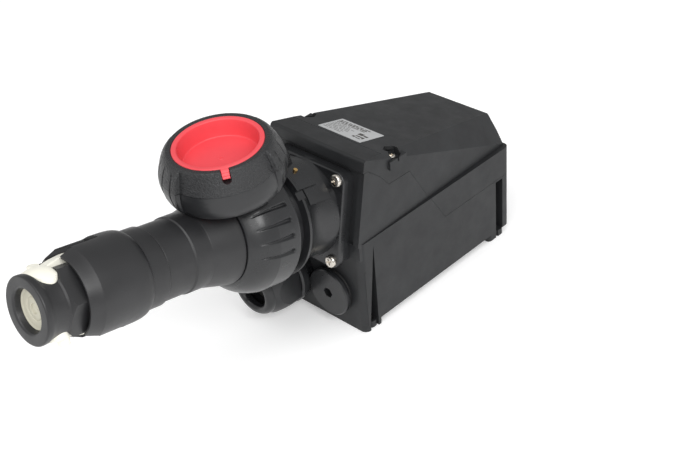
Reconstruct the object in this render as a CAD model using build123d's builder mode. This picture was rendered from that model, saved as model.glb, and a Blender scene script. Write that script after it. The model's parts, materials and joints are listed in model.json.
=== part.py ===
"""Wall-mounted industrial socket-outlet with its plug inserted.

A long plastic terminal box carries a tilted socket on its front wall, with a hinged
bayonet cap above it. A large cable plug is pushed into the socket and held by its
coupling ring. All sizes are millimetres. X runs across the box, Y along it with the
socket at the -Y end, and Z away from the wall that the box is screwed to. The origin
is the centre of the four mounting holes, on the back face.
"""
import os
from math import cos, radians, sin

from build123d import *

os.makedirs("parts", exist_ok=True)

# ---------------------------------------------------------------- driving sizes
MOUNT_SPACING_X = 114.0
MOUNT_SPACING_Y = 204.0
MOUNT_HOLE_R = 3.3

BOX_WIDTH = 130.0
BOX_LENGTH = 238.0
CORNER_R = 7.0
WALL = 4.0
FLOOR_Z = 7.7             # underside of the floor, above the feet
RIM_Z = 109.0             # ledge round the rear of the lid, and the kink of the front
REAR_SEAM_Z = 75.0
SEAM_GAP = 0.35

FACE_TILT = 11.5          # the upper front wall and the socket lean back, in degrees
SOCKET_Z = 134.1          # height at which the socket axis crosses the front wall
MOUNT_FRONT = 14.5        # front mounting holes, behind the front wall
FRONT_Y = -MOUNT_SPACING_Y / 2 - MOUNT_FRONT
REAR_Y = FRONT_Y + BOX_LENGTH
BOX_MID_Y = (FRONT_Y + REAR_Y) / 2

GAP = 0.4                 # clearance between pieces that move past each other
PLUG_TRAVEL = 60.0

# ---------------------------------------------------------------- frames of reference
TILT_SIN = sin(radians(FACE_TILT))
TILT_COS = cos(radians(FACE_TILT))
SOCKET_ORIGIN = (0, FRONT_Y, SOCKET_Z)
# Local x is across, local y is up the face, local z is out of the socket.
SOCKET = Plane(origin=SOCKET_ORIGIN, x_dir=(1, 0, 0), z_dir=(0, -TILT_COS, TILT_SIN))
# Local x is the radius and local y the distance along the socket axis.
SOCKET_SECTION = Plane(origin=SOCKET_ORIGIN, x_dir=(1, 0, 0), z_dir=(0, -TILT_SIN, -TILT_COS))
SOCKET_AXIS = Axis(SOCKET_ORIGIN, (0, -TILT_COS, TILT_SIN))

# The cap stands open above the plug. Its axis leans forward a little.
CAP_LEAN = 4.4
CAP_SIN = sin(radians(CAP_LEAN))
CAP_COS = cos(radians(CAP_LEAN))
CAP_TOP = (0, FRONT_Y - 101.2, 254.0)
CAP = Plane(origin=CAP_TOP, x_dir=(1, 0, 0), z_dir=(0, -CAP_SIN, CAP_COS))
CAP_SECTION = Plane(origin=CAP_TOP, x_dir=(1, 0, 0), z_dir=(0, -CAP_COS, -CAP_SIN))
CAP_AXIS = Axis(CAP_TOP, (0, -CAP_SIN, CAP_COS))

# Cable entries in the lower front wall, seen along +Y.
ENTRY_R = 20.0
GLAND_SITE = (-37.5, FRONT_Y, 42.0)
PLUGGED_SITE = (23.7, FRONT_Y, 39.7)


def entry_plane(site, out=0.0):
    """Plane parallel to the front wall at a cable entry, facing out, out from the wall."""
    return Plane(origin=site, x_dir=(1, 0, 0), z_dir=(0, -1, 0)).offset(out)


def entry_section(site):
    """Section plane of a cable entry: radius, then distance out of the wall."""
    return Plane(origin=site, x_dir=(1, 0, 0), z_dir=(0, 0, -1))


def entry_axis(site):
    return Axis(site, (0, -1, 0))


def section_at(frame, angle):
    """Section plane through a frame's z axis, with the radius turned by angle from its x."""
    radius = frame.x_dir * cos(radians(angle)) + frame.y_dir * sin(radians(angle))
    return Plane(origin=frame.origin, x_dir=radius, z_dir=radius.cross(frame.z_dir))


def polar(radius, angle):
    return (radius * cos(radians(angle)), radius * sin(radians(angle)))


def finish(builder, label, colour):
    """Name a finished sub-part, colour it for viewing and write it out."""
    builder.part.label = label
    builder.part.color = Color(*colour)
    export_step(builder.part, f"parts/{label}.step")


BLACK = (0.10, 0.10, 0.11)
SATIN = (0.16, 0.16, 0.17)
RED = (0.85, 0.10, 0.12)
IVORY = (0.88, 0.86, 0.76)
STEEL = (0.72, 0.72, 0.73)
BRASS = (0.80, 0.63, 0.28)
RUBBER = (0.05, 0.05, 0.05)
GREY = (0.45, 0.46, 0.48)
LABEL = (0.83, 0.84, 0.85)

# ---------------------------------------------------------------- enclosure outline
HOOD_FRONT_HALF = 64.3    # half width of the upper body at the front
HOOD_REAR_HALF = 59.2     # and at the rear
LEDGE = 1.2               # the upper body stands out over the lower front wall
# Upper body from the side: distance behind the front wall, height, corner radius.
HOOD_PROFILE = (
    (0.0, 90.0, 1.0),
    (0.0, RIM_Z - 2.0, 0.3),
    (-LEDGE, RIM_Z - 1.2, 0.3),
    (-0.9, RIM_Z + 1.0, 0.6),
    (15.2, 184.6, 0.6),
    (14.0, 186.0, 0.6),
    (16.6, 198.0, 3.2),
    (43.7, 192.2, 6.0),
    (231.6, 143.6, 3.0),
    (234.2, 125.0, 5.0),
    (234.2, 90.0, 1.0),
)
ROOF_FRONT = HOOD_PROFILE[7]
ROOF_REAR = HOOD_PROFILE[8]
# Corners of the triangular facet at the side of the roof: across, behind the front, height.
FACET = ((63.9, 18.0, 197.7), (40.2, 231.6, 143.6), (59.2, 231.6, 111.8))
# Joint between lid and base, from the side.
SEAM = (
    (-30.0, 184.9),
    (20.5, 184.9),
    (37.2, 170.3),
    (48.5, 156.0),
    (80.0, 155.0),
    (107.8, 108.0),
    (128.3, REAR_SEAM_Z),
    (BOX_LENGTH + 10, REAR_SEAM_Z),
)


def side_point(behind, height):
    """Point of Plane.YZ from a distance behind the front wall and a height."""
    return (FRONT_Y + behind, height)


def facet_plane(side, inset):
    corners = [Vector(side * x, FRONT_Y + y, z) for x, y, z in FACET]
    normal = (corners[1] - corners[0]).cross(corners[2] - corners[0]).normalized()
    if normal.Z < 0:
        normal = -normal
    return Plane(origin=corners[0] - normal * inset, z_dir=normal)


def enclosure_form(inset, front_inset=None):
    """Closed shape of the whole enclosure with every face moved in by inset."""
    front = inset if front_inset is None else front_inset
    corner = max(CORNER_R - inset, 2.0)
    profile = [side_point(y, z) for y, z, r in HOOD_PROFILE]
    radii = [r for y, z, r in HOOD_PROFILE]
    with BuildPart() as hood:
        with BuildSketch(Plane.YZ):
            with BuildLine():
                FilletPolyline(*profile, radius=radii, close=True)
            make_face()
            if inset:
                offset(amount=-inset, kind=Kind.INTERSECTION)
        extrude(amount=BOX_WIDTH, both=True)
        with BuildSketch():
            Polygon(
                (HOOD_FRONT_HALF - inset, FRONT_Y + front - inset - LEDGE),
                (HOOD_REAR_HALF - inset, REAR_Y),
                (-HOOD_REAR_HALF + inset, REAR_Y),
                (-HOOD_FRONT_HALF + inset, FRONT_Y + front - inset - LEDGE),
                align=None,
            )
        extrude(amount=2 * RIM_Z, mode=Mode.INTERSECT)
        split(bisect_by=facet_plane(1, inset), keep=Keep.BOTTOM)
        split(bisect_by=facet_plane(-1, inset), keep=Keep.BOTTOM)
    with BuildPart() as form:
        with BuildSketch(Plane.XY.offset(FLOOR_Z + inset)):
            with Locations((0, BOX_MID_Y + (front - inset) / 2)):
                RectangleRounded(BOX_WIDTH - 2 * inset, BOX_LENGTH - inset - front, corner)
        extrude(amount=RIM_Z - FLOOR_Z - 2 * inset)
        add(hood.part)
    return form.part


def above_seam(lift, thickness=200.0):
    """Slab that follows the lid joint, starting lift above it."""
    points = [side_point(y, z + lift) for y, z in SEAM]
    top = [side_point(y, z + lift + thickness) for y, z in reversed(SEAM)]
    with BuildPart() as slab:
        with BuildSketch(Plane.YZ):
            Polygon(*points, *top, align=None)
        extrude(amount=BOX_WIDTH, both=True)
    return slab.part


FRONT_WALL = 7.0
outer_form = enclosure_form(0.0)
inner_form = enclosure_form(WALL, FRONT_WALL)
above_joint = above_seam(0.0)

# ---------------------------------------------------------------- enclosure base
FOOT_WIDTH = 16.0
FOOT_R = 4.5              # rounding of the corner feet, from above
FRONT_FOOT = 25.5         # the front feet, from the front wall back
REAR_FOOT = (-17.0, 9.0)  # the rear feet, in front of and behind their holes
SEAT_R = 6.5              # round boss under each screw head
FLANGE_W = 104.0
FLANGE_H = 102.0
FLANGE_BACK = 3.5         # distances along the socket axis
FLANGE_FRONT = 10.0
FLANGE_SCREW = 43.2       # half the spacing of the flange screws
FLANGE_SCREW_R = 2.9
FLANGE_SCREW_END = -9.8
PAD_TOP = 2.2
CHANNEL_DEPTH = 12.0
CHANNEL_W = 14.0
FRONT_CHANNEL = (-7.5, 4.5)   # screw channel openings, in front of and behind their holes
REAR_CHANNEL = (-4.7, 7.0)
REAR_NOTCH = (-4.7, -1.0)     # gap through the rear foot, narrower than the channel above it
REAR_CHANNEL_TOP = 73.0
FRONT_CHANNEL_TOP = 101.0
MOUNTS = [(x * MOUNT_SPACING_X / 2, y * MOUNT_SPACING_Y / 2) for x in (-1, 1) for y in (-1, 1)]
LID_SCREW_X = 56.3
LID_SCREW_Y = FRONT_Y + 61.5
POCKET_Z = 177.0
COLUMN_R = 4.6
CREASE_GROOVE = 0.8

with BuildPart() as cavity:
    add(inner_form)
    split(
        bisect_by=SOCKET.offset(-5.0 - FRONT_WALL),
        keep=Keep.BOTTOM,
    )

with BuildPart() as enclosure_base:
    add(outer_form)
    # Front lip and corner feet reach the back face.
    with BuildSketch():
        with Locations((0, FRONT_Y + WALL / 2)):
            Rectangle(BOX_WIDTH, WALL)
        for x in (FOOT_WIDTH / 2 - BOX_WIDTH / 2, BOX_WIDTH / 2 - FOOT_WIDTH / 2):
            with Locations((x, FRONT_Y + FRONT_FOOT / 2)):
                RectangleRounded(FOOT_WIDTH, FRONT_FOOT, FOOT_R)
            with Locations((x, MOUNT_SPACING_Y / 2 + sum(REAR_FOOT) / 2)):
                RectangleRounded(FOOT_WIDTH, REAR_FOOT[1] - REAR_FOOT[0], FOOT_R)
        with Locations((0, BOX_MID_Y)):
            RectangleRounded(BOX_WIDTH, BOX_LENGTH, CORNER_R, mode=Mode.INTERSECT)
    extrude(amount=FLOOR_Z + 1)
    # Raised pad that the socket flange is screwed to.
    with BuildSketch(SOCKET.offset(-9.0)):
        RectangleRounded(FLANGE_W - 5, FLANGE_H - 5, 8)
    extrude(amount=9.0 + PAD_TOP)
    add(cavity.part, mode=Mode.SUBTRACT)
    add(above_joint, mode=Mode.SUBTRACT)
    # Sunken panel of the tilted front wall, between the corner pillars.
    with BuildSketch(SOCKET.offset(-7.0)):
        with Locations((0, 13)):
            Rectangle(BOX_WIDTH - 16, 76)
        RectangleRounded(FLANGE_W - 5, FLANGE_H - 5, 8, mode=Mode.SUBTRACT)
    extrude(amount=8.0, mode=Mode.SUBTRACT)
    # Walls round the screw channels, then the channels themselves.
    with BuildSketch(Plane.XY.offset(FLOOR_Z)):
        with Locations(*MOUNTS):
            Rectangle(MOUNT_SPACING_X - BOX_WIDTH + 2 * (CHANNEL_DEPTH + WALL), CHANNEL_W + 6)
    extrude(amount=REAR_CHANNEL_TOP - FLOOR_Z + 1)
    for side in (-1, 1):
        with BuildSketch(Plane.YZ.offset(side * (BOX_WIDTH / 2 - CHANNEL_DEPTH))):
            Polygon(
                side_point(MOUNT_FRONT + FRONT_CHANNEL[0], FLOOR_Z),
                side_point(MOUNT_FRONT + FRONT_CHANNEL[1], FLOOR_Z),
                side_point(MOUNT_FRONT + FRONT_CHANNEL[1], FRONT_CHANNEL_TOP),
                align=None,
            )
            with Locations((MOUNT_SPACING_Y / 2 + sum(REAR_CHANNEL) / 2, (FLOOR_Z + REAR_CHANNEL_TOP) / 2)):
                Rectangle(REAR_CHANNEL[1] - REAR_CHANNEL[0], REAR_CHANNEL_TOP - FLOOR_Z)
        extrude(amount=side * (CHANNEL_DEPTH + 1), mode=Mode.SUBTRACT)
    # The channels run out through the feet, past a round boss for each screw.
    with BuildSketch(Plane.XY.offset(-1)):
        for y, gap in ((-MOUNT_SPACING_Y / 2, FRONT_CHANNEL), (MOUNT_SPACING_Y / 2, REAR_NOTCH)):
            with Locations((-BOX_WIDTH / 2, y + sum(gap) / 2), (BOX_WIDTH / 2, y + sum(gap) / 2)):
                Rectangle(BOX_WIDTH - MOUNT_SPACING_X, gap[1] - gap[0])
        with Locations(*MOUNTS):
            Circle(SEAT_R, mode=Mode.SUBTRACT)
    extrude(amount=FLOOR_Z + 2, mode=Mode.SUBTRACT)
    with BuildSketch():
        with Locations(*MOUNTS):
            Circle(MOUNT_HOLE_R)
    extrude(amount=FLOOR_Z + 1, mode=Mode.SUBTRACT)
    # Columns for the two lid screws.
    with BuildSketch(Plane.XY.offset(FLOOR_Z + 1)):
        with Locations((-LID_SCREW_X, LID_SCREW_Y), (LID_SCREW_X, LID_SCREW_Y)):
            Circle(COLUMN_R)
    extrude(amount=145.0 - FLOOR_Z)
    # Opening behind the socket and the two threaded cable entries.
    with BuildSketch(SOCKET.offset(-30.0)):
        Circle(39.0)
    extrude(amount=35.0, mode=Mode.SUBTRACT)
    for site in (GLAND_SITE, PLUGGED_SITE):
        with BuildSketch(entry_plane(site, -FRONT_WALL - 1)):
            Circle(ENTRY_R)
        extrude(amount=FRONT_WALL + 2, mode=Mode.SUBTRACT)
    with BuildSketch(SOCKET.offset(FLANGE_SCREW_END)):
        with GridLocations(2 * FLANGE_SCREW, 2 * FLANGE_SCREW, 2, 2):
            Circle(FLANGE_SCREW_R)
    extrude(amount=-FLANGE_SCREW_END + 2 * PAD_TOP, mode=Mode.SUBTRACT)
finish(enclosure_base, "enclosure_base", BLACK)

# ---------------------------------------------------------------- lid
GASKET_H = 1.8
gasket_band = above_seam(0.0, GASKET_H)
gasket_groove = above_seam(-1.0, GASKET_H + 1.6)
gasket_outer = enclosure_form(1.3)
gasket_inner = enclosure_form(2.9)
groove_outer = enclosure_form(0.9)
groove_inner = enclosure_form(3.3)

with BuildPart() as lid_gasket:
    add(gasket_outer)
    add(gasket_inner, mode=Mode.SUBTRACT)
    add(gasket_band, mode=Mode.INTERSECT)
finish(lid_gasket, "lid_gasket", RUBBER)

with BuildPart() as lid_groove:
    add(groove_outer)
    add(groove_inner, mode=Mode.SUBTRACT)
    add(gasket_groove, mode=Mode.INTERSECT)

POCKET_R = 9.2
LID_SCREWS = [(-LID_SCREW_X, LID_SCREW_Y), (LID_SCREW_X, LID_SCREW_Y)]
with BuildPart() as lid_cover:
    add(outer_form)
    add(inner_form, mode=Mode.SUBTRACT)
    # Thick pads under the screw pockets.
    with BuildSketch(Plane.XY.offset(POCKET_Z - 5)):
        with Locations(*LID_SCREWS):
            Rectangle(19, 24)
    extrude(amount=9)
    add(above_seam(SEAM_GAP), mode=Mode.INTERSECT)
    add(lid_groove.part, mode=Mode.SUBTRACT)
    # Fine groove along the cross crease of the roof.
    with BuildSketch(Plane.YZ):
        with Locations(side_point(*ROOF_FRONT[:2])):
            Rectangle(CREASE_GROOVE, CREASE_GROOVE, rotation=45)
    extrude(amount=BOX_WIDTH, both=True, mode=Mode.SUBTRACT)
    with BuildSketch(Plane.XY.offset(POCKET_Z)):
        with Locations((-LID_SCREW_X - 1, LID_SCREW_Y), (LID_SCREW_X + 1, LID_SCREW_Y)):
            RegularPolygon(POCKET_R, 6)
    extrude(amount=30, mode=Mode.SUBTRACT)
    with BuildSketch(Plane.XY.offset(POCKET_Z - 10)):
        with Locations(*LID_SCREWS):
            Circle(2.4)
    extrude(amount=20, mode=Mode.SUBTRACT)
finish(lid_cover, "lid_cover", BLACK)

with BuildPart() as lid_screws:
    with BuildSketch(Plane.XY.offset(POCKET_Z - 21)):
        with Locations(*LID_SCREWS):
            Circle(2.0)
    extrude(amount=21)
    with BuildSketch(Plane.XY.offset(POCKET_Z)):
        with Locations(*LID_SCREWS):
            Circle(4.2)
    extrude(amount=3.6)
    fillet(lid_screws.edges().filter_by(GeomType.CIRCLE).group_by(Axis.Z)[-1], 0.8)
    with BuildSketch(Plane.XY.offset(POCKET_Z + 1.4)):
        with Locations(*LID_SCREWS):
            RegularPolygon(2.2, 6)
    extrude(amount=3, mode=Mode.SUBTRACT)
finish(lid_screws, "lid_screws", STEEL)

# The roof behind its cross crease, for the label.
ROOF = Plane(
    origin=(0, FRONT_Y + ROOF_FRONT[0], ROOF_FRONT[1]),
    x_dir=(1, 0, 0),
    z_dir=(0, ROOF_FRONT[1] - ROOF_REAR[1], ROOF_REAR[0] - ROOF_FRONT[0]),
)
with BuildPart() as rating_label:
    with BuildSketch(ROOF.offset(0.02)):
        with Locations((0, 22.0)):
            RectangleRounded(57.5, 36.0, 1.0)
    extrude(amount=0.35)
finish(rating_label, "rating_label", LABEL)

# ---------------------------------------------------------------- inside the box
RAIL_Z = FLOOR_Z + WALL
RAIL_Y = FRONT_Y + 168.0
TERMINAL_PITCH = 15.0
TERMINAL_COUNT = 5
TERMINALS = [
    ((i - (TERMINAL_COUNT - 1) / 2) * TERMINAL_PITCH, RAIL_Y) for i in range(TERMINAL_COUNT)
]

with BuildPart() as terminal_rail:
    with BuildSketch(Plane.YZ.offset(-46)):
        with Locations((RAIL_Y, RAIL_Z + 0.75)):
            Rectangle(27, 1.5)
        with Locations((RAIL_Y - 13, RAIL_Z + 3.75), (RAIL_Y + 13, RAIL_Z + 3.75)):
            Rectangle(1.5, 7.5)
        with Locations((RAIL_Y - 15.5, RAIL_Z + 6.75), (RAIL_Y + 15.5, RAIL_Z + 6.75)):
            Rectangle(5, 1.5)
    extrude(amount=92)
finish(terminal_rail, "terminal_rail", STEEL)

TERMINAL_Z = RAIL_Z + 7.8
with BuildPart() as terminal_blocks:
    with BuildSketch(Plane.XY.offset(TERMINAL_Z)):
        with Locations(*TERMINALS):
            RectangleRounded(TERMINAL_PITCH - 0.6, 52, 1.5)
    extrude(amount=34)
    with BuildSketch(Plane.XY.offset(TERMINAL_Z + 24)):
        with Locations(*[(x, y + dy) for x, y in TERMINALS for dy in (-16, 16)]):
            Circle(4.2)
    extrude(amount=12, mode=Mode.SUBTRACT)
    with BuildSketch(Plane.XZ.offset(-RAIL_Y - 30)):
        with Locations(*[(x, TERMINAL_Z + 14) for x, y in TERMINALS]):
            Circle(4.6)
    extrude(amount=15, mode=Mode.SUBTRACT)
    with BuildSketch(Plane.XZ.offset(-RAIL_Y + 15)):
        with Locations(*[(x, TERMINAL_Z + 14) for x, y in TERMINALS]):
            Circle(4.6)
    extrude(amount=15, mode=Mode.SUBTRACT)
finish(terminal_blocks, "terminal_blocks", GREY)

with BuildPart() as terminal_screws:
    with BuildSketch(Plane.XY.offset(TERMINAL_Z + 24)):
        with Locations(*[(x, y + dy) for x, y in TERMINALS for dy in (-16, 16)]):
            Circle(4.0)
    extrude(amount=5)
    with BuildSketch(Plane.XY.offset(TERMINAL_Z + 27)):
        with Locations(*[(x, y + dy) for x, y in TERMINALS for dy in (-16, 16)]):
            Rectangle(9, 1.2)
    extrude(amount=3, mode=Mode.SUBTRACT)
finish(terminal_screws, "terminal_screws", STEEL)

with BuildPart() as earth_bar:
    with BuildSketch(Plane.XY.offset(RAIL_Z)):
        with Locations((0, FRONT_Y + 212)):
            Rectangle(70, 8)
    extrude(amount=9)
    with BuildSketch(Plane.XY.offset(RAIL_Z + 3)):
        with Locations(*[(x, FRONT_Y + 212) for x in (-28, -14, 0, 14, 28)]):
            Circle(2.2)
    extrude(amount=7, mode=Mode.SUBTRACT)
finish(earth_bar, "earth_bar", BRASS)

# Load-break switch behind the socket, turned by the contact carrier.
with BuildPart() as switch_block:
    with BuildSketch(SOCKET.offset(-78.0)):
        RectangleRounded(84, 72, 6)
    extrude(amount=46)
    with BuildSketch(SOCKET.offset(-60.0)):
        Circle(6.5)
    extrude(amount=40, mode=Mode.SUBTRACT)
finish(switch_block, "switch_block", GREY)

SWITCH_FEET = [(x, FRONT_Y + y) for x in (-30.0, 30.0) for y in (56.0,)]
with BuildPart() as switch_posts:
    with BuildSketch(Plane.XY.offset(RAIL_Z)):
        with Locations(*SWITCH_FEET):
            Circle(5)
    extrude(amount=90)
    add(switch_block.part, mode=Mode.SUBTRACT)
    split(bisect_by=SOCKET.offset(-33), keep=Keep.BOTTOM)
finish(switch_posts, "switch_posts", STEEL)

# ---------------------------------------------------------------- socket on the front
HINGE_OUT = 47.0          # hinge pin of the cap, along the socket axis
HINGE_UP = 68.0           # and above it
HINGE_YZ = side_point(
    HINGE_UP * TILT_SIN - HINGE_OUT * TILT_COS, SOCKET_Z + HINGE_UP * TILT_COS + HINGE_OUT * TILT_SIN
)
PIN_R = 3.0
EAR_R = 5.5
EAR_T = 4.5
EAR_X = 5.8
EAR_OUTLINE = (
    (HINGE_YZ[0] - EAR_R, HINGE_YZ[1]),
    (HINGE_YZ[0] + EAR_R, HINGE_YZ[1]),
    (HINGE_YZ[0] + 11.0, HINGE_YZ[1] - 22.0),
    (HINGE_YZ[0] - 12.0, HINGE_YZ[1] - 22.0),
)
# Outer radius, start, end and half angle of each raised block on the barrel.
BLOCK_R = 56.6
TOP_BLOCKS = ((BLOCK_R, 31.0, 56.0, 40.0), (54.6, 20.0, 47.0, 57.5))
LIP_GAP_ANGLE = 45.0
LIP_GAP = 9.0
BARREL_BORE_R = 47.0
CARRIER_R = 38.0
BARREL_RIM = 57.6
COLLAR_R = 50.5
# Brass pin standing in the top of the barrel, a little to one side.
INDEX_PIN_R = 2.1
INDEX_PIN_LENGTH = 4.2
INDEX_RADIUS = section_at(SOCKET, 90 - 19.5)
INDEX_PIN = Plane(
    origin=SOCKET.origin + SOCKET.z_dir * 42.4 + INDEX_RADIUS.x_dir * (BLOCK_R - 2),
    z_dir=INDEX_RADIUS.x_dir,
)

with BuildPart() as flange_gasket:
    with BuildSketch(SOCKET.offset(PAD_TOP)):
        RectangleRounded(FLANGE_W - 4, FLANGE_H - 4, 8.5)
        Circle(CARRIER_R + 2, mode=Mode.SUBTRACT)
        with GridLocations(2 * FLANGE_SCREW, 2 * FLANGE_SCREW, 2, 2):
            Circle(3.2, mode=Mode.SUBTRACT)
    extrude(amount=FLANGE_BACK - PAD_TOP)
finish(flange_gasket, "flange_gasket", RUBBER)

with BuildPart() as socket_housing:
    with BuildSketch(SOCKET.offset(FLANGE_BACK)):
        RectangleRounded(FLANGE_W, FLANGE_H, 10)
    extrude(amount=FLANGE_FRONT - FLANGE_BACK)
    fillet(socket_housing.edges().group_by(SOCKET_AXIS)[-1], 1.6)
    # Barrel: a waisted tube with a lip, and a collar for the coupling ring.
    with BuildSketch(SOCKET_SECTION):
        with BuildLine():
            Line((BARREL_BORE_R, FLANGE_BACK), (51.6, FLANGE_BACK))
            Line((51.6, FLANGE_BACK), (50.6, FLANGE_FRONT + 0.6))
            Spline((50.6, FLANGE_FRONT + 0.6), (49.2, 24.0), (50.4, 38.0), (55.4, 51.0))
            Polyline(
                (55.4, 51.0), (BARREL_RIM, 54.0), (BARREL_RIM, 57.0), (COLLAR_R, 58.4),
                (COLLAR_R, 76.0), (BARREL_BORE_R, 76.0), (BARREL_BORE_R, FLANGE_BACK),
            )
        make_face()
    revolve(axis=SOCKET_AXIS)
    # Floor of the socket round the contact carrier.
    with BuildSketch(SOCKET.offset(FLANGE_BACK)):
        Circle(BARREL_BORE_R + 1)
        Circle(CARRIER_R + 0.05, mode=Mode.SUBTRACT)
    extrude(amount=8.0)
    with BuildSketch(SOCKET.offset(FLANGE_BACK - 1)):
        Circle(CARRIER_R + 0.05)
    extrude(amount=12.0, mode=Mode.SUBTRACT)
    with BuildSketch(SOCKET.offset(11.5)):
        Circle(BARREL_BORE_R)
    extrude(amount=80, mode=Mode.SUBTRACT)
    with BuildSketch(SOCKET.offset(FLANGE_BACK - 1)):
        with GridLocations(2 * FLANGE_SCREW, 2 * FLANGE_SCREW, 2, 2):
            Circle(3.2)
    extrude(amount=12, mode=Mode.SUBTRACT)
    # Raised blocks on top of the barrel, under the cap hinge.
    for block_r, start, end, half_angle in TOP_BLOCKS:
        with BuildSketch(SOCKET.offset(start)):
            Circle(block_r)
            Polygon(
                (0, 0), polar(2 * block_r, 90 - half_angle), polar(2 * block_r, 90),
                polar(2 * block_r, 90 + half_angle), align=None, mode=Mode.INTERSECT,
            )
            Circle(BARREL_BORE_R + 1, mode=Mode.SUBTRACT)
        extrude(amount=end - start)
    # Gap in the lip beside the upper block.
    with BuildSketch(SOCKET.offset(48.0)):
        for angle in (90 - LIP_GAP_ANGLE, 90 + LIP_GAP_ANGLE):
            with Locations(Location(polar(BARREL_RIM, angle), angle)):
                Rectangle(8.0, LIP_GAP)
    extrude(amount=10.0, mode=Mode.SUBTRACT)
    # Ears for the hinge pin of the cap.
    for side in (-1, 1):
        with BuildSketch(Plane.YZ.offset(side * (EAR_X - EAR_T / 2))):
            Polygon(*EAR_OUTLINE, align=None)
            with Locations(HINGE_YZ):
                Circle(EAR_R)
                Circle(PIN_R + 0.05, mode=Mode.SUBTRACT)
        extrude(amount=side * EAR_T)
    with BuildSketch(SOCKET.offset(11.5)):
        Circle(BARREL_BORE_R)
    extrude(amount=80, mode=Mode.SUBTRACT)
    with BuildSketch(INDEX_PIN):
        Circle(INDEX_PIN_R)
    extrude(amount=INDEX_PIN_LENGTH, mode=Mode.SUBTRACT)
finish(socket_housing, "socket_housing", SATIN)

SCREW_HEAD_R = 6.4
with BuildPart() as flange_screws:
    with BuildSketch(SOCKET.offset(FLANGE_SCREW_END)):
        with GridLocations(2 * FLANGE_SCREW, 2 * FLANGE_SCREW, 2, 2):
            Circle(FLANGE_SCREW_R)
    extrude(amount=FLANGE_FRONT - FLANGE_SCREW_END)
    with BuildSketch(SOCKET.offset(FLANGE_FRONT)):
        with GridLocations(2 * FLANGE_SCREW, 2 * FLANGE_SCREW, 2, 2):
            Circle(SCREW_HEAD_R)
    extrude(amount=4.0)
    fillet(flange_screws.edges().filter_by(GeomType.CIRCLE).group_by(SOCKET_AXIS)[-1], 2.4)
    with BuildSketch(SOCKET.offset(FLANGE_FRONT + 1.8)):
        with GridLocations(2 * FLANGE_SCREW, 2 * FLANGE_SCREW, 2, 2):
            Rectangle(7.0, 1.5, rotation=25)
            Rectangle(1.5, 7.0, rotation=25)
    extrude(amount=4, mode=Mode.SUBTRACT)
finish(flange_screws, "flange_screws", STEEL)

with BuildPart() as index_pin:
    with BuildSketch(INDEX_PIN):
        Circle(INDEX_PIN_R)
    extrude(amount=INDEX_PIN_LENGTH)
finish(index_pin, "index_pin", BRASS)

with BuildPart() as hinge_pin:
    with BuildSketch(Plane.YZ.offset(-EAR_X - 3.5)):
        with Locations(HINGE_YZ):
            Circle(PIN_R)
    extrude(amount=2 * EAR_X + 7)
finish(hinge_pin, "hinge_pin", STEEL)

# Switch insert in the floor of the socket: it turns with the plug.
CONTACT_RING = 22.0
CONTACT_SITES = [polar(CONTACT_RING, 90 + 72 * i) for i in range(5)]
CONTACT_R = 6.0
PIN_HOLE_R = 4.4
PLUG_PIN_R = 4.0
CARRIER_FRONT = 28.0
with BuildPart() as contact_carrier:
    with BuildSketch(SOCKET.offset(-26.0)):
        Circle(CARRIER_R)
    extrude(amount=CARRIER_FRONT + 26.0)
    with BuildSketch(SOCKET.offset(-24.0)):
        with Locations(*CONTACT_SITES):
            Circle(CONTACT_R)
    extrude(amount=60, mode=Mode.SUBTRACT)
    with BuildSketch(SOCKET.offset(-60.0)):
        Circle(6.0)
    extrude(amount=35)
finish(contact_carrier, "contact_carrier", GREY)

with BuildPart() as socket_contacts:
    with BuildSketch(SOCKET.offset(-24.0)):
        with Locations(*CONTACT_SITES):
            Circle(CONTACT_R)
    extrude(amount=CARRIER_FRONT + 22.0)
    with BuildSketch(SOCKET.offset(-19.0)):
        with Locations(*CONTACT_SITES):
            Circle(PIN_HOLE_R)
    extrude(amount=60, mode=Mode.SUBTRACT)
finish(socket_contacts, "socket_contacts", BRASS)

# ---------------------------------------------------------------- plug
SHROUD_R = BARREL_BORE_R - GAP
with BuildPart() as plug_shroud:
    with BuildSketch(SOCKET_SECTION):
        Polygon(
            (SHROUD_R, 14.0), (SHROUD_R, 79.0), (52.0, 79.0), (52.0, 84.0), (42.0, 84.0),
            (42.0, 126.0), (36.0, 126.0), (36.0, 78.0), (CARRIER_R + GAP, 74.0),
            (CARRIER_R + GAP, 14.0), align=None,
        )
    revolve(axis=SOCKET_AXIS)
finish(plug_shroud, "plug_shroud", SATIN)

with BuildPart() as plug_seal:
    with BuildSketch(SOCKET_SECTION):
        Polygon((SHROUD_R, 76.6), (52.0, 76.6), (52.0, 79.0), (SHROUD_R, 79.0), align=None)
    revolve(axis=SOCKET_AXIS)
finish(plug_seal, "plug_seal", RUBBER)

PIN_TIP = -12.0
with BuildPart() as plug_pin_carrier:
    with BuildSketch(SOCKET.offset(CARRIER_FRONT + 1.0)):
        Circle(CARRIER_R + GAP)
        with Locations(*CONTACT_SITES):
            Circle(PLUG_PIN_R, mode=Mode.SUBTRACT)
    extrude(amount=34)
finish(plug_pin_carrier, "plug_pin_carrier", GREY)

with BuildPart() as plug_pins:
    with BuildSketch(SOCKET.offset(PIN_TIP)):
        with Locations(*CONTACT_SITES):
            Circle(PLUG_PIN_R)
    extrude(amount=CARRIER_FRONT + 50.0)
    chamfer(plug_pins.edges().filter_by(GeomType.CIRCLE).group_by(SOCKET_AXIS)[0], 1.5)
finish(plug_pins, "plug_pins", BRASS)

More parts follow.
